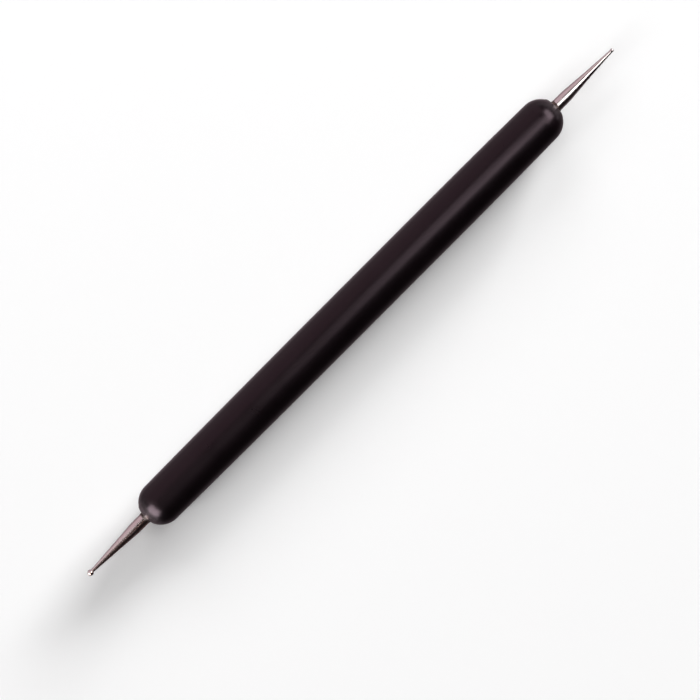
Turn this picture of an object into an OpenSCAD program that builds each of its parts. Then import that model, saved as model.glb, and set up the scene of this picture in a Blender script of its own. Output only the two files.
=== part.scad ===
// Double-ended ball stylus for embossing and dotting.
// A turned dowel with domed ends under a soft-touch coating, and a ball-ended steel tip glued into each end.
// Millimetres. X runs along the tool, from the broad ball to the fine ball, and Z is up.
// The tool lies on z = 0 on the straight belly of its handle, and x = 0 is halfway between the ball ends.

/* [Handle] */
// Length of the coated handle, from crown to crown
handle_length = 98; // [84:1:120]
// Diameter of the straight belly that the fingers hold
belly_d = 8; // [7.8:0.1:12]
// Length of the straight belly
belly_length = 28; // [10:1:50]
// Distance of the belly's middle from the handle's middle, towards the fine end
belly_shift = 9; // [-10:1:10]
// Diameter of the dome at the broad end
broad_dome_d = 7.6; // [6:0.1:7.7]
// Diameter of the dome at the fine end
fine_dome_d = 7.7; // [6:0.1:7.7]
// Thickness of the soft-touch coating
coating_t = 0.15; // [0.1:0.05:0.4]

/* [Sockets] */
// Diameter of the hole drilled in each end of the dowel
socket_d = 2.3; // [2.2:0.05:3]
// Depth of the hole's straight wall, from the crown
socket_depth = 15; // [14.5:0.5:20]
// Point angle of the drill
drill_point = 118; // [90:1:140]
// Width of the chamfer round the hole
countersink_w = 0.15; // [0.05:0.05:0.4]
// Width of the bare wood between the chamfer and the coating's edge
bare_ring_w = 0.15; // [0.05:0.05:0.4]

/* [Tips] */
// Diameter of the steel rod that both tips are turned from
rod_d = 2.1; // [1.8:0.05:2.15]
// Reach of each tip, from the crown to the end of its ball
tip_reach = 13.5; // [11:0.5:18]
// Height above the crown at which the rod starts to taper
collar_length = 2.3; // [1.6:0.1:4]
// Length of the tang, from the crown to its inner end
tang_length = 14; // [10:0.5:14]

/* [Broad end] */
// Diameter of the broad ball
broad_ball_d = 1.1; // [0.9:0.05:2]
// Diameter of the neck behind the broad ball
broad_neck_d = 0.62; // [0.4:0.02:0.8]
// Radius that blends the collar into the broad tip's flank
broad_blend_r = 6; // [1:1:12]
// Depth of the broad flank's hollow, against a straight cone
broad_hollow = 0.01; // [0.01:0.01:0.1]

/* [Fine end] */
// Diameter of the fine ball
fine_ball_d = 0.66; // [0.62:0.02:1]
// Diameter of the neck behind the fine ball
fine_neck_d = 0.56; // [0.3:0.02:0.6]
// Radius that blends the collar into the fine tip's flank
fine_blend_r = 16; // [1:1:20]
// Depth of the fine flank's hollow, against a straight cone
fine_hollow = 0.05; // [0.01:0.01:0.1]

/* [Glue] */
// Height of the glue bead on the steel, above the crown
bead_rise = 0.15; // [0.15:0.05:0.4]

/* [Hidden] */
$fn = 96;

belly_r = belly_d / 2;
broad_dome_r = broad_dome_d / 2;
fine_dome_r = fine_dome_d / 2;
taper_steps = 8;
taper_sink = 0.002;                      // the tapers end this far inside the domes, so that they cross cleanly

socket_r = socket_d / 2;
countersink_r = socket_r + countersink_w;
coating_mouth_r = countersink_r + bare_ring_w;
mouth_cut_depth = 1;                     // deeper than the coating at its mouth

rod_r = rod_d / 2;
tang_chamfer = 0.3;
blend_steps = 5;
flank_steps = 8;

key_groove_r = 0.4;                      // round-bottomed grooves that key the tang into the glue
key_groove_depth = 0.15;
key_groove_pitch = 3;
first_groove_depth = 0.2;                // from the crown to the middle of the first groove, just under the bead
last_groove_margin = 1;                  // plain tang left beyond the last groove, at least

bead_hollow = 0.08;                      // sagitta of the bead's meniscus
bead_steps = 6;

// Points on a circle, by angle from the radius direction; first = 1 leaves out the starting point
function arc(centre, r, from, to, steps, first = 0) =
    [for (i = [first : steps]) let (a = from + (to - from) * i / steps) centre + r * [cos(a), sin(a)]];

// A hollow curve from p up to q bows inwards by its sagitta, so its centre is on the outer side
function bow_radius(p, q, sagitta) = (pow(norm(q - p), 2) / 4 + sagitta * sagitta) / (2 * sagitta);
function bow_centre(p, q, sagitta) =
    let (along = (q - p) / norm(q - p))
    (p + q) / 2 + (bow_radius(p, q, sagitta) - sagitta) * [along.y, -along.x];

// Direction in which the circle's centre lies from a point on it
function facing(centre, point) = atan2(centre.y - point.y, centre.x - point.x);

// Edge of the chamfered socket, on the wood's dome
function socket_rim(dome_r) =
    let (wood_r = dome_r - coating_t)
    [countersink_r, sqrt(wood_r * wood_r - countersink_r * countersink_r) - dome_r];

// Socket from the point of the drill up to its rim
function socket_outline(dome_r) =
    let (rim = socket_rim(dome_r))
    [
        [0, -socket_depth - socket_r / tan(drill_point / 2)],
        [socket_r, -socket_depth],
        [socket_r, rim.y - countersink_w],
        rim
    ];

// Long taper from the belly's end to the dome's centre: one arc, tangent to the belly and to the dome
function taper(dome_r, belly_end, inset) =
    let (
        dome_centre = handle_length / 2 - dome_r,
        run = dome_centre - belly_end,
        end_r = dome_r - taper_sink,
        taper_r = (run * run + belly_r * belly_r - end_r * end_r) / (2 * (belly_r - end_r)),
        lean = asin(run / (taper_r - end_r))
    )
    concat(
        arc([belly_r - taper_r, belly_end], taper_r - inset, 0, lean, taper_steps),
        [[0, dome_centre]]
    );

// Moves a profile that is drawn upwards from the crown, z = 0, to the fine end
module at_fine_end() {
    translate([0, handle_length / 2]) children();
}

// Moves the same to the broad end, pointing the other way
module at_broad_end() {
    mirror([0, 1]) translate([0, handle_length / 2]) children();
}

// Half of a disc, on the positive side of the axis
module half_disc(r) {
    intersection() {
        circle(r = r);
        translate([0, -r]) square([r, 2 * r]);
    }
}

// Handle outline from dome to dome; the inset takes the coating off all round
module handle_profile(inset = 0) {
    fine = taper(fine_dome_r, belly_length / 2 + belly_shift, inset);
    broad = taper(broad_dome_r, belly_length / 2 - belly_shift, inset);
    polygon(concat(fine, [for (i = [len(broad) - 1 : -1 : 0]) [broad[i].x, -broad[i].y]]));
    at_fine_end() translate([0, -fine_dome_r]) half_disc(fine_dome_r - inset);
    at_broad_end() translate([0, -broad_dome_r]) half_disc(broad_dome_r - inset);
}

// Drilled and chamfered socket, open above the crown
module socket_profile(dome_r) {
    polygon(concat(socket_outline(dome_r), [[countersink_r, 1], [0, 1]]));
}

// Opening that the coating leaves round a tip
module coating_mouth_profile() {
    translate([0, -mouth_cut_depth]) square([coating_mouth_r, 2 * mouth_cut_depth]);
}

// Ball tip and tang, pointing upwards: tang, collar, blend, hollow flank, neck and ball
module tip_profile(ball_d, neck_d, blend_r, hollow) {
    ball_r = ball_d / 2;
    neck_r = neck_d / 2;
    ball_z = tip_reach - ball_r;
    corner = [rod_r, collar_length];
    neck = [neck_r, ball_z - sqrt(ball_r * ball_r - neck_r * neck_r)];
    flank_r = bow_radius(corner, neck, hollow);
    flank_centre = bow_centre(corner, neck, hollow);

    // The blend takes off the corner: its circle touches the collar and the flank's circle
    blend_x = rod_r - blend_r;
    blend_turn = acos((flank_centre.x - blend_x) / (flank_r + blend_r));
    blend_z = flank_centre.y - (flank_r + blend_r) * sin(blend_turn);

    difference() {
        polygon(concat(
            [[0, -tang_length], [rod_r - tang_chamfer, -tang_length], [rod_r, tang_chamfer - tang_length]],
            arc([blend_x, blend_z], blend_r, 0, blend_turn, blend_steps),
            arc(flank_centre, flank_r, 180 + blend_turn, 180 + facing(flank_centre, neck), flank_steps, first = 1),
            [[neck_r, ball_z], [0, ball_z]]
        ));
        for (z = [-first_groove_depth : -key_groove_pitch : last_groove_margin - tang_length])
            translate([rod_r - key_groove_depth + key_groove_r, z]) circle(r = key_groove_r);
    }
    translate([0, ball_z]) half_disc(ball_r);
}

module broad_tip_profile() {
    tip_profile(broad_ball_d, broad_neck_d, broad_blend_r, broad_hollow);
}

module fine_tip_profile() {
    tip_profile(fine_ball_d, fine_neck_d, fine_blend_r, fine_hollow);
}

// Cured glue: what the tang leaves of the socket, and a hollow bead drawn up the steel at the mouth
module glue_profile(dome_r) {
    rim = socket_rim(dome_r);
    top = [rod_r, bead_rise];
    centre = bow_centre(rim, top, bead_hollow);
    meniscus = arc(centre, bow_radius(rim, top, bead_hollow),
        180 + facing(centre, rim), 180 + facing(centre, top), bead_steps, first = 1);
    difference() {
        polygon(concat(socket_outline(dome_r), meniscus, [[0, bead_rise]]));
        children();
    }
}

// Turns a lathe profile into a solid along X, at the height of the tool's axis
module lathe() {
    translate([0, 0, belly_r]) rotate([0, 90, 0]) rotate_extrude() children();
}

// Turned hardwood dowel with a drilled socket in each domed end
module handle_core() {
    color("burlywood")
        lathe()
            difference() {
                handle_profile(coating_t);
                at_fine_end() socket_profile(fine_dome_r);
                at_broad_end() socket_profile(broad_dome_r);
            }
}

// Rubbery matt coating, open at both mouths
module handle_coating() {
    color([0.13, 0.11, 0.12])
        lathe()
            difference() {
                handle_profile();
                handle_profile(coating_t);
                at_fine_end() coating_mouth_profile();
                at_broad_end() coating_mouth_profile();
            }
}

// Steel tip with the broad ball
module broad_tip() {
    color("silver") lathe() at_broad_end() broad_tip_profile();
}

// Steel tip with the fine ball
module fine_tip() {
    color("silver") lathe() at_fine_end() fine_tip_profile();
}

// Glue that holds the broad tip
module broad_tip_glue() {
    color([0.3, 0.2, 0.14]) lathe() at_broad_end() glue_profile(broad_dome_r) broad_tip_profile();
}

// Glue that holds the fine tip
module fine_tip_glue() {
    color([0.3, 0.2, 0.14]) lathe() at_fine_end() glue_profile(fine_dome_r) fine_tip_profile();
}

handle_core();
handle_coating();
broad_tip();
fine_tip();
broad_tip_glue();
fine_tip_glue();
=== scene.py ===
from math import acos, asin, atan2, cos, exp, hypot, pi, radians, sin, sqrt, tan

import bpy
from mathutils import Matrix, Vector


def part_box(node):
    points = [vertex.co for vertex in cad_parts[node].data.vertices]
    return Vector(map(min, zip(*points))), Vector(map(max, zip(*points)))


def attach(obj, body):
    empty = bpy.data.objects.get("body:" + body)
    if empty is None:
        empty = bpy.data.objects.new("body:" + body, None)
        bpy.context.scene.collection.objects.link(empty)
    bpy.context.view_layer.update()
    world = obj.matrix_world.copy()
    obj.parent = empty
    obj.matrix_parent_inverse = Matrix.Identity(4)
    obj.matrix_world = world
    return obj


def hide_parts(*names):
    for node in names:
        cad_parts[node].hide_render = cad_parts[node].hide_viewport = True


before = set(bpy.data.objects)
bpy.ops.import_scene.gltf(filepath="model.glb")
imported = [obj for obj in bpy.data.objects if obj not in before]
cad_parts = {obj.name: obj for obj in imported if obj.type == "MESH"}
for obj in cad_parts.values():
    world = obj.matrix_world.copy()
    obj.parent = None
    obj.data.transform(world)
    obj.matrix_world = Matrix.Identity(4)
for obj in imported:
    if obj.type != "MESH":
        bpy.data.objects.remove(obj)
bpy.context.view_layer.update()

# Dowel: the wooden body of the handle, turned to a long belly between two domes and drilled at both ends.
# It is plain hardwood. The coating hides all of it but a narrow ring round each socket, which the
# dark coating and the glue have stained.

MM = 0.001          # outlines are drawn in mm; places, textures and lamps are in metres
FINE_END = 1
BROAD_END = -1

coating_low, coating_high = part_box("handle_coating")
axis_height = (coating_low[2] + coating_high[2]) / 2
belly_r = min(coating_high[1] - coating_low[1], coating_high[2] - coating_low[2]) / 2 / MM

handle_length = 98
belly_length = 28
belly_shift = 9
belly_ends = {FINE_END: belly_length / 2 + belly_shift, BROAD_END: belly_length / 2 - belly_shift}
dome_radii = {FINE_END: 7.7 / 2, BROAD_END: 7.6 / 2}
coating_t = 0.15
belly_steps = 8
taper_steps = 16
dome_steps = 28
handle_sides = 128
weld_gap = 1e-7
crease_angle = radians(32)

socket_r = 2.3 / 2
socket_depth = 15
drill_point = radians(118)
countersink_w = 0.15
countersink_r = socket_r + countersink_w
bare_ring_w = 0.15

wood_base = (0.52, 0.36, 0.21, 1)
wood_late = (0.36, 0.22, 0.115, 1)
mouth_stain = (0.03, 0.019, 0.017, 1)
growth_ring = 0.9 * MM
pith_offset = 14 * MM
wobble_size = 8 * MM
wobble_stretch = (0.3, 1, 1)
pore_length = 1.5 * MM
pore_width = 0.08 * MM
pore_edges = (0.62, 0.72)
pore_share = 0.3
pore_depth = 0.006 * MM
stain_patch = 0.7 * MM
stain_edges = (0.62, 0.42)
wood_roughness = 0.55
figure_roughness = 0.15
stain_smoothness = 0.2


class Wire:
    """One output of a shader node. Arithmetic on wires adds Math nodes."""

    def __init__(self, tree, output=None):
        self.tree = tree
        self.output = output

    def node(self, kind, settings, values, output=0):
        """Adds a node: its settings first, then a value or a wire for each of the named inputs."""
        made = self.tree.nodes.new(kind)
        for name, setting in settings.items():
            setattr(made, name, setting)
        for name, value in values.items():
            if isinstance(value, Wire):
                self.tree.links.new(value.output, made.inputs[name])
            else:
                made.inputs[name].default_value = value
        return Wire(self.tree, made.outputs[output] if made.outputs else None)

    def maths(self, operation, *values):
        return self.node("ShaderNodeMath", {"operation": operation}, dict(enumerate(values)))

    def __add__(self, other):
        return self.maths("ADD", self, other)

    __radd__ = __add__

    def __sub__(self, other):
        return self.maths("SUBTRACT", self, other)

    def __rsub__(self, other):
        return self.maths("SUBTRACT", other, self)

    def __mul__(self, other):
        return self.maths("MULTIPLY", self, other)

    __rmul__ = __mul__

    def sine(self):
        return self.maths("SINE", self)

    def root(self):
        return self.maths("SQRT", self)

    def size(self):
        return self.maths("ABSOLUTE", self)

    def between(self, low, high):
        """0 below low and 1 above high, with a smooth step between; it falls if low is above high."""
        values = {"Value": self, "From Min": low, "From Max": high}
        return self.node("ShaderNodeMapRange", {"interpolation_type": "SMOOTHSTEP"}, values)

    def part(self, axis):
        """The X, Y or Z of this vector."""
        return self.node("ShaderNodeSeparateXYZ", {}, {"Vector": self}, axis)

    def mix(self, one, other):
        """A colour that goes from one to the other as this wire goes from 0 to 1."""
        # A Mix node's colours are its inputs 6 and 7, and the mixed colour is its output 2
        return self.node("ShaderNodeMix", {"data_type": "RGBA"}, {0: self, 6: one, 7: other}, 2)

    def noise(self, size, detail=2, stretch=(1, 1, 1)):
        """Noise on this vector, with blobs of about the given size in metres."""
        scaled = self.node("ShaderNodeMapping", {}, {"Vector": self, "Scale": [s / size for s in stretch]})
        return self.node("ShaderNodeTexNoise", {}, {"Vector": scaled, "Scale": 1, "Detail": detail})


def fresh_nodes(owner):
    """Clears the nodes of a material or a world, and gives a wire for adding new ones."""
    owner.use_nodes = True
    owner.node_tree.nodes.clear()
    return Wire(owner.node_tree)


def new_finish(name):
    """A new material, its wire for adding nodes, and the place on the piece, measured from the axis."""
    material = bpy.data.materials.new(name)
    start = fresh_nodes(material)
    place = start.node("ShaderNodeTexCoord", {}, {}, "Object")
    centred = start.node("ShaderNodeMapping", {}, {"Vector": place, "Location": (0, 0, -axis_height)})
    return material, start, centred


def close_finish(start, values):
    """Ends a material with a Principled shader that has these values and wires."""
    shader = start.node("ShaderNodeBsdfPrincipled", {}, values)
    start.node("ShaderNodeOutputMaterial", {}, {"Surface": shader})


def arc(centre, radius, start, end, steps):
    """Points on a circle in the (along, radius) plane, by angle from the along direction."""
    turns = [start + (end - start) * i / steps for i in range(steps + 1)]
    return [(centre[0] + radius * cos(a), centre[1] + radius * sin(a)) for a in turns]


def half_outline(end, inset, mouth_r):
    """Outline of the handle from the belly's end over the taper and the dome to the mouth, in mm."""
    dome_r = dome_radii[end]
    dome_centre = handle_length / 2 - dome_r
    run = dome_centre - belly_ends[end]
    taper_r = (run ** 2 + belly_r ** 2 - dome_r ** 2) / (2 * (belly_r - dome_r))
    lean = asin(run / (taper_r - dome_r))
    mouth_turn = asin(mouth_r / (dome_r - inset))
    taper = arc((belly_ends[end], belly_r - taper_r), taper_r - inset, pi / 2, pi / 2 - lean, taper_steps)
    dome = arc((dome_centre, 0), dome_r - inset, pi / 2 - lean, mouth_turn, dome_steps)
    return [(end * along, radius) for along, radius in taper + dome[1:]]


def belly_outline(inset):
    """Evenly spaced points on the straight belly, without its ends."""
    start = -belly_ends[BROAD_END]
    run = belly_ends[FINE_END] - start
    return [(start + run * i / belly_steps, belly_r - inset) for i in range(1, belly_steps)]


def from_crown(end, outline):
    """Moves an outline drawn outwards from the crown to one end of the handle."""
    return [(end * (handle_length / 2 + height), radius) for height, radius in outline]


def socket_outline(end):
    """The drilled hole, from the point of the drill out to the edge of its chamfer."""
    wood_r = dome_radii[end] - coating_t
    rim = sqrt(wood_r ** 2 - countersink_r ** 2) - dome_radii[end]
    above_crown = [
        (-socket_depth - socket_r / tan(drill_point / 2), 0),
        (-socket_depth, socket_r),
        (rim - countersink_w, socket_r),
        (rim, countersink_r),
    ]
    return from_crown(end, above_crown)


def turn_on_lathe(name, outline, sides):
    """Extrudes a point along the outline and spins the line about the tool's axis."""
    places = [(along * MM, radius * MM) for along, radius in outline]
    bpy.ops.object.select_all(action="DESELECT")
    bpy.ops.mesh.primitive_plane_add(size=MM, location=(places[0][0], 0, axis_height + places[0][1]))
    piece = bpy.context.object
    piece.name = name
    piece.data.name = name
    bpy.ops.object.mode_set(mode="EDIT")
    bpy.ops.mesh.select_all(action="SELECT")
    bpy.ops.mesh.merge(type="CENTER")
    for (x, r), (next_x, next_r) in zip(places, places[1:]):
        bpy.ops.mesh.extrude_vertices_move(TRANSFORM_OT_translate={"value": (next_x - x, 0, next_r - r)})
    bpy.ops.mesh.select_all(action="SELECT")
    bpy.ops.mesh.spin(steps=sides, angle=2 * pi, center=(0, 0, axis_height), axis=(1, 0, 0))
    bpy.ops.mesh.select_all(action="SELECT")
    bpy.ops.mesh.remove_doubles(threshold=weld_gap)
    bpy.ops.mesh.normals_make_consistent(inside=False)
    bpy.ops.object.mode_set(mode="OBJECT")
    bpy.ops.object.transform_apply(location=True, rotation=True, scale=True)
    bpy.ops.object.shade_smooth_by_angle(angle=crease_angle)
    return piece


fine_half = half_outline(FINE_END, coating_t, countersink_r)
broad_half = half_outline(BROAD_END, coating_t, countersink_r)
dowel = turn_on_lathe(
    "handle_dowel",
    socket_outline(BROAD_END)
    + broad_half[-2::-1]
    + belly_outline(coating_t)
    + fine_half[:-1]
    + socket_outline(FINE_END)[::-1],
    handle_sides,
)

wood, start, place = new_finish("turned_hardwood")
wobble = place.noise(wobble_size, stretch=wobble_stretch)
from_pith_y = place.part("Y") + pith_offset
from_pith_z = place.part("Z")
from_pith = (from_pith_y * from_pith_y + from_pith_z * from_pith_z).root() + wobble * growth_ring
rings = (from_pith * (2 * pi / growth_ring)).sine()
pores = place.noise(pore_width, stretch=(pore_width / pore_length, 1, 1)).between(*pore_edges)
figure = (rings * 0.5 + 0.5) * (1 - pore_share) + pores * pore_share
smear = place.noise(stain_patch, detail=3).between(*stain_edges)
bump = {"Strength": 1, "Distance": pore_depth, "Height": 1 - pores}
close_finish(start, {
    "Base Color": smear.mix(figure.mix(wood_base, wood_late), mouth_stain),
    "Roughness": wood_roughness + figure * figure_roughness - smear * stain_smoothness,
    "Normal": start.node("ShaderNodeBump", {}, bump),
})
dowel.data.materials.append(wood)
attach(dowel, "root")
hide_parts("handle_core")

# Coating: the soft-touch skin of the handle, a rubbery matt lacquer sprayed over the dowel before
# the sockets are drilled clean. It is open at both mouths, where its edge is rolled and wanders a
# little, and it has a few lumps where the spray gathered.

mouth_r = countersink_r + bare_ring_w
edge_roll = 0.055
roll_steps = 3
roll_angle = radians(50)
edge_fade = 0.8
edge_waves = {      # amount, count round the mouth and phase
    FINE_END: ((0.05, 1, 0.4), (0.035, 2, 2.1), (0.02, 5, 1.0), (0.012, 9, 0.3)),
    BROAD_END: ((0.045, 1, 2.6), (0.03, 3, 0.7), (0.02, 4, 2.4), (0.012, 10, 1.1)),
}
mouth_nibs = {      # distance from the mouth's edge, turn from +Y, height and width
    FINE_END: ((0.42, 0.1, 0.1, 0.3), (0.25, 1.3, 0.05, 0.25)),
    BROAD_END: ((0.3, 1.9, 0.05, 0.3), (0.6, 0.2, 0.04, 0.35)),
}
lump_size = 0.45 * MM
lump_height = 0.05 * MM
lump_fade = 1.6

coating_base = (0.0012, 0.0003, 0.0007, 1)
# Pale patches near the mouths: partly real wear, and on the broad dome also a painted reflection.
coating_wear_and_reflection = (0.1, 0.078, 0.084, 1)
coating_tint = (1, 0.75, 0.86, 1)
coating_ior = 1.34
sheen_weight = 0.035
sheen_roughness = 0.35
sheen_tint = (1, 0.7, 0.8, 1)
coating_roughness = 0.25
mottle_size = 5 * MM
mottle_share = 0.01
mottle_roughness = 0.08
wear_and_reflection_size = 0.6 * MM
wear_and_reflection_edges = (0.4, 0.7)
wear_and_reflection_least = 0.4
wear_and_reflection_paleness = 0.8
wear_and_reflection_roughness = 0.07
wear_and_reflection_from = {FINE_END: 47 * MM, BROAD_END: 46.8 * MM}
wear_and_reflection_to = 48.4 * MM
wear_and_reflection_share = {FINE_END: 0.12, BROAD_END: 1}
peel_size = 0.35 * MM
peel_depth = 0.0016 * MM
grain_size = 0.045 * MM
grain_depth = 0.0022 * MM
nib_spacing = 2.6 * MM
nib_size = 0.035    # as a share of the spacing
nib_height = 0.006 * MM


def wander(waves, turn):
    """A slow, uneven drift round the axis, from (amount, count, phase) waves."""
    return sum(amount * cos(count * turn + phase) for amount, count, phase in waves)


def end_of(vertex):
    """The end of the tool that a vertex is nearer to."""
    return FINE_END if vertex.co.x > 0 else BROAD_END


def turn_of(vertex):
    """Angle of a vertex round the tool's axis, from +Y towards +Z."""
    return atan2(vertex.co.z - axis_height, vertex.co.y)


def radius_of(vertex):
    """Distance in mm of a vertex from the tool's axis."""
    return hypot(vertex.co.y, vertex.co.z - axis_height) / MM


def mouth_distance(vertex):
    """Distance in mm from the edge of the coating's mouth, measured along the dome."""
    dome_r = dome_radii[end_of(vertex)]
    lean = atan2(radius_of(vertex), abs(vertex.co.x) / MM - handle_length / 2 + dome_r)
    return dome_r * (lean - asin(mouth_r / dome_r))


def apply_modifier(piece, kind, settings):
    """Adds a modifier, sets it and applies it."""
    bpy.ops.object.select_all(action="DESELECT")
    bpy.context.view_layer.objects.active = piece
    piece.select_set(True)
    modifier = piece.modifiers.new(kind.lower(), kind)
    for name, setting in settings.items():
        setattr(modifier, name, setting)
    bpy.ops.object.modifier_apply(modifier=modifier.name)


def raise_lumps(piece, weights, size, height):
    """Raises and sinks the weighted vertices along their normals by cloudy noise."""
    group = piece.vertex_groups.new(name="lumps")
    for index, weight in weights.items():
        group.add([index], weight, "REPLACE")
    clouds = bpy.data.textures.new(piece.name + "_lumps", "CLOUDS")
    clouds.noise_scale = size
    clouds.noise_depth = 1
    settings = {"texture": clouds, "strength": height, "mid_level": 0.5, "vertex_group": group.name}
    apply_modifier(piece, "DISPLACE", settings)


fine_half = half_outline(FINE_END, 0, mouth_r)
broad_half = half_outline(BROAD_END, 0, mouth_r)
coating = turn_on_lathe("handle_skin", broad_half[::-1] + belly_outline(0) + fine_half, handle_sides)

for vertex in coating.data.vertices:
    away = mouth_distance(vertex)
    if away < edge_fade:
        end = end_of(vertex)
        turn = turn_of(vertex)
        slide = wander(edge_waves[end], turn) * (1 - away / edge_fade)
        lean = (away + slide) / dome_radii[end] + asin(mouth_r / dome_radii[end])
        radius = dome_radii[end] * sin(lean) * MM
        along = handle_length / 2 - dome_radii[end] + dome_radii[end] * cos(lean)
        vertex.co = (end * along * MM, radius * cos(turn), axis_height + radius * sin(turn))
    for nib_away, nib_turn, height, width in mouth_nibs[end_of(vertex)]:
        gap = hypot(away - nib_away, mouth_r * (turn_of(vertex) - nib_turn))
        vertex.co += vertex.normal * height * exp(-(gap / width) ** 2) * MM

mouth_weights = {v.index: 1 - mouth_distance(v) / lump_fade for v in coating.data.vertices}
near_mouth = {index: weight for index, weight in mouth_weights.items() if weight > 0}
raise_lumps(coating, near_mouth, lump_size, lump_height)
apply_modifier(coating, "SOLIDIFY", {"thickness": coating_t * MM, "offset": -1, "use_even_offset": True})
apply_modifier(coating, "BEVEL", {
    "width": edge_roll * MM,
    "segments": roll_steps,
    "limit_method": "ANGLE",
    "angle_limit": roll_angle,
})

soft_touch, start, place = new_finish("soft_touch_black")
mottle = place.noise(mottle_size, detail=4)
# Paler, rougher patches near both mouths, full at the broad end: partly real wear, and on the broad dome
# also a painted reflection, pale colour standing in for the light that the dome mirrors there.
broad_wear_and_reflection, fine_wear_and_reflection = (
    (place.part("X") * end).between(wear_and_reflection_from[end], wear_and_reflection_to) * wear_and_reflection_share[end]
    for end in (BROAD_END, FINE_END)
)
patches = place.noise(wear_and_reflection_size, detail=3).between(*wear_and_reflection_edges)
wear_and_reflection = (broad_wear_and_reflection + fine_wear_and_reflection) * (wear_and_reflection_least + patches * (1 - wear_and_reflection_least))
peel = place.noise(peel_size, detail=1)
grain = place.noise(grain_size, detail=2)
nib_place = {"Vector": place, "Scale": 1 / nib_spacing}
nibs = start.node("ShaderNodeTexVoronoi", {}, nib_place, "Distance").between(nib_size, nib_size / 2)
relief = peel * peel_depth + grain * grain_depth + nibs * nib_height
close_finish(start, {
    "Base Color": (wear_and_reflection * wear_and_reflection_paleness + mottle * mottle_share).mix(coating_base, coating_wear_and_reflection),
    "Roughness": coating_roughness + mottle * mottle_roughness + wear_and_reflection * wear_and_reflection_roughness,
    "IOR": coating_ior,
    "Specular Tint": coating_tint,
    "Sheen Weight": sheen_weight,
    "Sheen Roughness": sheen_roughness,
    "Sheen Tint": sheen_tint,
    "Normal": start.node("ShaderNodeBump", {}, {"Strength": 1, "Distance": 1, "Height": relief}),
})
coating.data.materials.append(soft_touch)
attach(coating, "root")
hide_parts("handle_coating")

# Tips: two steel pins turned from 2.1 mm rod, one with a broad ball and one with a fine one.
# Each has a plain collar, a long hollow taper to its neck, and a grooved tang that is glued into
# a socket. The lathe leaves fine rings on them, and the balls are polished.

ball_ds = {BROAD_END: 1.1, FINE_END: 0.66}
neck_ds = {BROAD_END: 0.62, FINE_END: 0.56}
blend_radii = {BROAD_END: 6, FINE_END: 16}
flank_hollows = {BROAD_END: 0.01, FINE_END: 0.05}
rod_r = 2.1 / 2
tip_reach = 13.5
collar_length = 2.3
tang_length = 14
tang_chamfer = 0.3
key_groove_r = 0.4
key_groove_depth = 0.15
key_groove_pitch = 3
key_grooves = 5
first_groove_depth = 0.2
groove_steps = 8
blend_steps = 10
flank_steps = 24
ball_steps = 16
tip_sides = 96

steel_base = (0.56, 0.515, 0.51, 1)
steel_shade = (0.5, 0.435, 0.42, 1)
# A dark brown painted shade for the -Y side of the broad tip, the side that falls dark.
steel_painted_shade = (0.36, 0.21, 0.17, 1)
steel_roughness = 0.1
turned_roughness = 0.03
feed_roughness = 0.05
polish_from = 61.2 * MM
polish_full = 61.8 * MM
ring_pitch = 0.055 * MM
ring_depth = 0.0011 * MM
ring_wander = 6
feed_size = 0.3 * MM
feed_depth = 0.002 * MM
feed_share = 0.3
chatter_size = 0.2 * MM
chatter_stretch = (1, 0.12, 0.12)
chatter_least = 0.4
tarnish_size = 1.4 * MM
tarnish_stretch = (0.5, 1, 1)
tarnish_share = 0.6
score_from = -40 * MM
score_full = -50 * MM
score_size = 0.2 * MM
score_stretch = (0.4, 1, 1)
score_depth = 0.028 * MM
painted_shade_speck_size = 0.14 * MM
painted_shade_speck_stretch = (0.3, 1, 1)
painted_shade_speck_edges = (0.4, 0.6)
painted_shade_least = 0.3
painted_shade_speck_share = 0.6
painted_shade_from = 0.12 * MM
painted_shade_full = -0.12 * MM


def bow(start, end, hollow):
    """Centre and radius of the circle for a curve between two points that is this deep at its middle."""
    chord = hypot(end[0] - start[0], end[1] - start[1])
    radius = (chord ** 2 / 4 + hollow ** 2) / (2 * hollow)
    across = ((start[1] - end[1]) / chord, (end[0] - start[0]) / chord)
    centre = [(s + e) / 2 + (radius - hollow) * n for s, e, n in zip(start, end, across)]
    return centre, radius


def direction(centre, point):
    """Angle of a point seen from a circle's centre, from the along direction."""
    return atan2(point[1] - centre[1], point[0] - centre[0])


def tang_outline():
    """The tang, from its inner end to the top of the groove under the glue's bead."""
    outline = [
        (-tang_length, 0),
        (-tang_length, rod_r - tang_chamfer),
        (-tang_length + tang_chamfer, rod_r),
    ]
    lip = asin((key_groove_r - key_groove_depth) / key_groove_r)
    for groove in reversed(range(key_grooves)):
        middle = -first_groove_depth - groove * key_groove_pitch
        centre = (middle, rod_r - key_groove_depth + key_groove_r)
        outline += arc(centre, key_groove_r, pi + lip, 2 * pi - lip, groove_steps)
    return outline


def tip_outline(end):
    """The whole pin, from the tang's inner end to the far side of the ball."""
    ball_r = ball_ds[end] / 2
    neck_r = neck_ds[end] / 2
    blend_r = blend_radii[end]
    ball_middle = tip_reach - ball_r
    neck = (ball_middle - sqrt(ball_r ** 2 - neck_r ** 2), neck_r)
    flank_centre, flank_r = bow((collar_length, rod_r), neck, flank_hollows[end])
    blend_turn = acos((flank_centre[1] - rod_r + blend_r) / (flank_r + blend_r))
    blend_middle = flank_centre[0] - (flank_r + blend_r) * sin(blend_turn)
    blend = arc((blend_middle, rod_r - blend_r), blend_r, pi / 2, pi / 2 - blend_turn, blend_steps)
    neck_turn = direction(flank_centre, neck)
    flank = arc(flank_centre, flank_r, -pi / 2 - blend_turn, neck_turn, flank_steps)
    ball = arc((ball_middle, 0), ball_r, pi - asin(neck_r / ball_r), 0, ball_steps)
    return from_crown(end, tang_outline() + blend + flank[1:] + ball[1:])


broad_tip = turn_on_lathe("broad_ball_tip", tip_outline(BROAD_END), tip_sides)
fine_tip = turn_on_lathe("fine_ball_tip", tip_outline(FINE_END), tip_sides)

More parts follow.
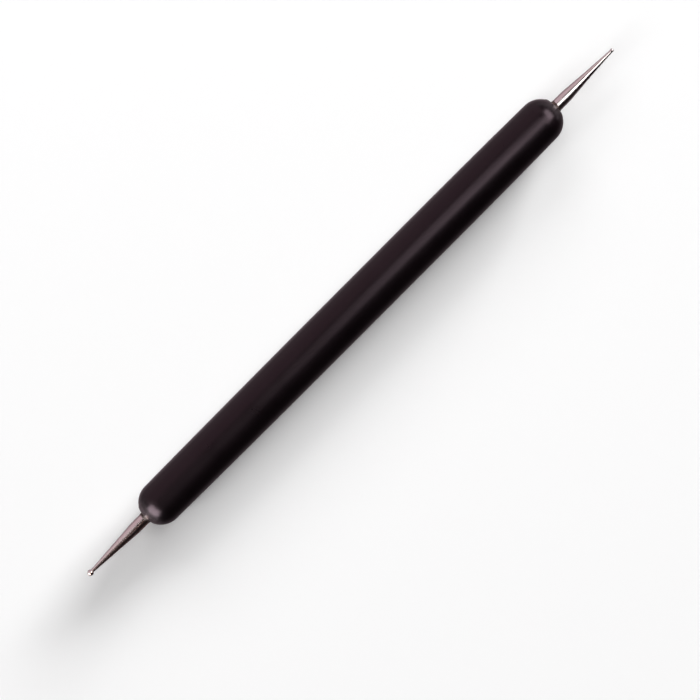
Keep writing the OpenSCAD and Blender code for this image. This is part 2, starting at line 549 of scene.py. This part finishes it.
tip_steel, start, place = new_finish("turned_steel")
x = place.part("X")
feed = start.node("ShaderNodeCombineXYZ", {}, {"X": x}).noise(feed_size, detail=2)
chatter = place.noise(chatter_size, detail=2, stretch=chatter_stretch)
turned = x.size().between(polish_full, polish_from)
rings = (x * (2 * pi / ring_pitch) + chatter * ring_wander).sine()
turning = (rings * ring_depth + feed * feed_depth) * turned * (chatter_least + chatter)
broad_end = x.between(score_from, score_full)
scored = place.noise(score_size, detail=2, stretch=score_stretch) * broad_end
relief = turning + scored * turned * score_depth
tarnish = place.noise(tarnish_size, detail=3, stretch=tarnish_stretch)
bare_steel = (tarnish * tarnish_share + feed * feed_share).mix(steel_base, steel_shade)
# Painted shade: the -Y side of the broad tip is mixed towards a dark brown, in specks.
painted_shade_specks = place.noise(painted_shade_speck_size, detail=2, stretch=painted_shade_speck_stretch).between(*painted_shade_speck_edges)
painted_shade_side = place.part("Y").between(painted_shade_from, painted_shade_full)
painted_shade = (painted_shade_least + painted_shade_specks * painted_shade_speck_share) * painted_shade_side * broad_end
close_finish(start, {
    "Base Color": painted_shade.mix(bare_steel, steel_painted_shade),
    "Metallic": 1,
    "Roughness": steel_roughness + turned * (turned_roughness + feed * feed_roughness),
    "Normal": start.node("ShaderNodeBump", {}, {"Strength": 1, "Distance": 1, "Height": relief}),
})
for tip, node in ((broad_tip, "broad_tip"), (fine_tip, "fine_tip")):
    tip.data.materials.append(tip_steel)
    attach(tip, "root")
    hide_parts(node)

# Glue: what fills each socket round the tang. A little of it was squeezed out at the mouth and set
# as a glossy, uneven bead that creeps up the steel.

bead_rise = 0.15
bead_hollow = 0.08
bead_steps = 8
creep_waves = {     # amount, count round the rod and phase
    FINE_END: ((0.05, 1, 1.9), (0.03, 2, 0.3), (0.015, 5, 2.0)),
    BROAD_END: ((0.06, 1, 0.2), (0.03, 3, 1.5), (0.015, 6, 0.8)),
}
creep_base = 0.1
glue_lump_size = 0.3 * MM
glue_lump_height = 0.05 * MM
seam = 0.001        # tells the bead's own vertices from those against the tang

glue_clear = (0.035, 0.021, 0.017, 1)
glue_dark = (0.009, 0.005, 0.005, 1)
glue_tint = (0.8, 0.66, 0.62, 1)
glue_relief = 0.012 * MM
glue_roughness = 0.3
cloud_size = 0.5 * MM
cloud_edges = (0.42, 0.6)
cloud_roughness = 0.14
bubble_spacing = 0.25 * MM
bubble_edges = (0.22, 0.1)
bubble_depth = 0.5  # as a share of the relief

glue_pieces = []
for name, end, node in (
    ("broad_glue_bead", BROAD_END, "broad_tip_glue"),
    ("fine_glue_bead", FINE_END, "fine_tip_glue"),
):
    wood_r = dome_radii[end] - coating_t
    rim = (sqrt(wood_r ** 2 - countersink_r ** 2) - dome_radii[end], countersink_r)
    bead_top = (bead_rise, rod_r)
    centre, radius = bow(rim, bead_top, bead_hollow)
    meniscus = arc(centre, radius, direction(centre, rim), direction(centre, bead_top), bead_steps)
    outline = socket_outline(end) + from_crown(end, meniscus[1:] + tang_outline()[::-1])
    glue = turn_on_lathe(name, outline, tip_sides)
    weights = {}
    for vertex in glue.data.vertices:
        height = abs(vertex.co.x) / MM - handle_length / 2
        climb = (height - rim[0]) / (bead_rise - rim[0])
        if climb > seam and (radius_of(vertex) > rod_r + seam or climb > 1 - seam):
            creep = creep_base + wander(creep_waves[end], turn_of(vertex))
            vertex.co.x += end * creep * climb * MM
            weights[vertex.index] = max(0, 4 * climb * (1 - climb))
    raise_lumps(glue, weights, glue_lump_size, glue_lump_height)
    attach(glue, "root")
    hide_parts(node)
    glue_pieces.append(glue)

set_glue, start, place = new_finish("set_glue")
cloud = place.noise(cloud_size, detail=3)
bubble_place = {"Vector": place, "Scale": 1 / bubble_spacing}
bubbles = start.node("ShaderNodeTexVoronoi", {}, bubble_place, "Distance").between(*bubble_edges)
relief = (cloud - bubbles * bubble_depth) * glue_relief
close_finish(start, {
    "Base Color": cloud.between(*cloud_edges).mix(glue_dark, glue_clear),
    "Roughness": glue_roughness + cloud * cloud_roughness,
    "Specular Tint": glue_tint,
    "Normal": start.node("ShaderNodeBump", {}, {"Strength": 1, "Distance": 1, "Height": relief}),
})
for glue in glue_pieces:
    glue.data.materials.append(set_glue)

# Floor: a wide pale sheet. It keeps the tool's shadow, and adds a little white of its own for the
# camera and for what the metal mirrors.

floor_white = (0.86, 0.86, 0.86, 1)
floor_glow = 0.1
floor_size = 8

bpy.ops.object.select_all(action="DESELECT")
bpy.ops.mesh.primitive_plane_add(size=floor_size, location=(0, 0, 0))
floor = bpy.context.object
floor.name = "pale_floor"
paper = bpy.data.materials.new("pale_paper")
start = fresh_nodes(paper)
seen = start.node("ShaderNodeLightPath", {}, {}, "Is Camera Ray")
mirrored = start.node("ShaderNodeLightPath", {}, {}, "Is Glossy Ray")
through = start.node("ShaderNodeLightPath", {}, {}, "Is Transmission Ray")
matt = start.node("ShaderNodeBsdfDiffuse", {}, {"Color": floor_white})
glow = start.node("ShaderNodeEmission", {}, {"Strength": (seen + mirrored + through) * floor_glow})
both = start.node("ShaderNodeAddShader", {}, {0: matt, 1: glow})
start.node("ShaderNodeOutputMaterial", {}, {"Surface": both})
floor.data.materials.append(paper)

# Light: a low key lamp beyond the fine end throws the soft shadow, and three weaker lamps fill it.
# The window and boxes round the tool and the cards along its sides give no light, and show only in
# its gloss. The room is dark, as the steel shows, and pale to the camera alone.

room_rose = (1, 0.8, 0.86, 1)
room_white = (1, 1, 1, 1)
room_grey = 0.024
backdrop_grey = 0.92
window_tint = (1, 0.88, 0.89)
plain = (1, 1, 1)
lamps = (           # name, spot, size, brightness, shape, lights the floor, shows in gloss, tint
    ("low_key", (2.88, 0.52, 0.67), (1.3, 0.7), 72, "RECTANGLE", True, False, plain),
    ("counter_key", (-1.74, 0.15, 0.95), (0.9, 0.7), 8, "RECTANGLE", True, False, plain),
    ("side_fill", (0.45, 0.97, 0.54), (0.8, 0.5), 5.2, "RECTANGLE", True, False, plain),
    ("top_strip", (0.02, 0, 1.5), (0.45, 2), 1.35, "RECTANGLE", True, False, plain),
    ("side_window", (-0.04, 0.6, 0.36), (1.5, 0.66), 1.05, "RECTANGLE", False, True, window_tint),
    ("fine_end_box", (0.44, -0.015, 0.27), (0.4, 0.24), 7.5, "RECTANGLE", False, True, plain),
    ("broad_end_box", (-0.46, -0.05, 0.25), (0.5, 0.36), 13, "RECTANGLE", False, True, plain),
    ("overhead_box", (0.2, -0.085, 0.33), (0.26, 0.31), 4, "ELLIPSE", False, True, plain),
    ("stripe_box", (0.045, 0, 0.33), (0.24, 0.053), 4.3, "RECTANGLE", False, True, plain),
    ("ceiling_box", (-0.2, -0.06, 0.37), (0.4, 0.22), 0.22, "RECTANGLE", False, True, window_tint),
    ("broad_side_box", (-0.17, 0.15, 0.4), (0.2, 0.2), 0.85, "ELLIPSE", False, True, window_tint),
)
lamp_shares = {"RECTANGLE": 1, "ELLIPSE": pi / 4}
card_lift = 0.02 * MM
cards = (           # name, near and far edge (y, z), brightness
    ("grey_wall", (30 * MM, 0), (30 * MM, 60 * MM), 0.85),
    ("grey_bed", (2 * MM, card_lift), (30 * MM, card_lift), 0.46),
    ("black_wall", (-16 * MM, 0), (-16 * MM, 20 * MM), 0.015),
    ("dark_bed", (-2 * MM, card_lift), (-16 * MM, card_lift), 0.18),
)
card_length = 132 * MM
card_tint = (1, 0.8, 0.87, 1)


def hang_softbox(name, spot, size, brightness, shape, lights, mirrored, tint):
    """A lamp that faces the tool. Its brightness is what a white mirror would show."""
    lamp = bpy.data.lights.new(name, "AREA")
    lamp.shape = shape
    lamp.size, lamp.size_y = size
    lamp.energy = brightness * pi * size[0] * size[1] * lamp_shares[shape]
    lamp.color = tint
    softbox = bpy.data.objects.new(name, lamp)
    bpy.context.collection.objects.link(softbox)
    softbox.location = spot
    aim = Vector((0, 0, axis_height)) - softbox.location
    softbox.rotation_euler = aim.to_track_quat("-Z", "Y").to_euler()
    softbox.visible_camera = False
    softbox.visible_diffuse = lights
    softbox.visible_glossy = mirrored


def lay_card(name, near_edge, far_edge, brightness):
    """A card along the tool, from edge to edge across it (y and z), which shows only in its gloss."""
    run, rise = far_edge[0] - near_edge[0], far_edge[1] - near_edge[1]
    middle = (0, (near_edge[0] + far_edge[0]) / 2, (near_edge[1] + far_edge[1]) / 2)
    bpy.ops.object.select_all(action="DESELECT")
    bpy.ops.mesh.primitive_plane_add(size=1, location=middle, rotation=(atan2(rise, run), 0, 0))
    card = bpy.context.object
    card.name = name
    card.scale = (card_length, hypot(run, rise), 1)
    bpy.ops.object.transform_apply(location=True, rotation=True, scale=True)
    face = bpy.data.materials.new(name)
    start = fresh_nodes(face)
    shade = start.node("ShaderNodeEmission", {}, {"Color": card_tint, "Strength": brightness})
    start.node("ShaderNodeOutputMaterial", {}, {"Surface": shade})
    card.data.materials.append(face)
    card.visible_camera = False
    card.visible_diffuse = False
    card.visible_shadow = False


for lamp in lamps:
    hang_softbox(*lamp)
for card in cards:
    lay_card(*card)

world = bpy.data.worlds.new("studio")
start = fresh_nodes(world)
seen = start.node("ShaderNodeLightPath", {}, {}, "Is Camera Ray")
strength = seen * (backdrop_grey - room_grey) + room_grey
colour = seen.mix(room_rose, room_white)
sky = start.node("ShaderNodeBackground", {}, {"Color": colour, "Strength": strength})
start.node("ShaderNodeOutputWorld", {}, {"Surface": sky})
bpy.context.scene.world = world

# Camera: high above the tool, looking straight down, and turned so that the tool lies across the
# frame with its fine end at the upper right.

frame_width = 117.72 * MM
tool_turn = radians(45.05)
camera_height = 0.75
camera_spot = (-4.62 * MM, -4.43 * MM)
sensor_width = 36
nearest_seen = 0.01

eye = bpy.data.cameras.new("camera")
eye.sensor_width = sensor_width
eye.lens = sensor_width * camera_height / frame_width
eye.clip_start = nearest_seen
camera = bpy.data.objects.new("camera", eye)
bpy.context.collection.objects.link(camera)
camera.location = (*camera_spot, axis_height + camera_height)
camera.rotation_euler = (0, 0, -tool_turn)
bpy.context.scene.camera = camera
bpy.context.scene.view_settings.view_transform = "Standard"
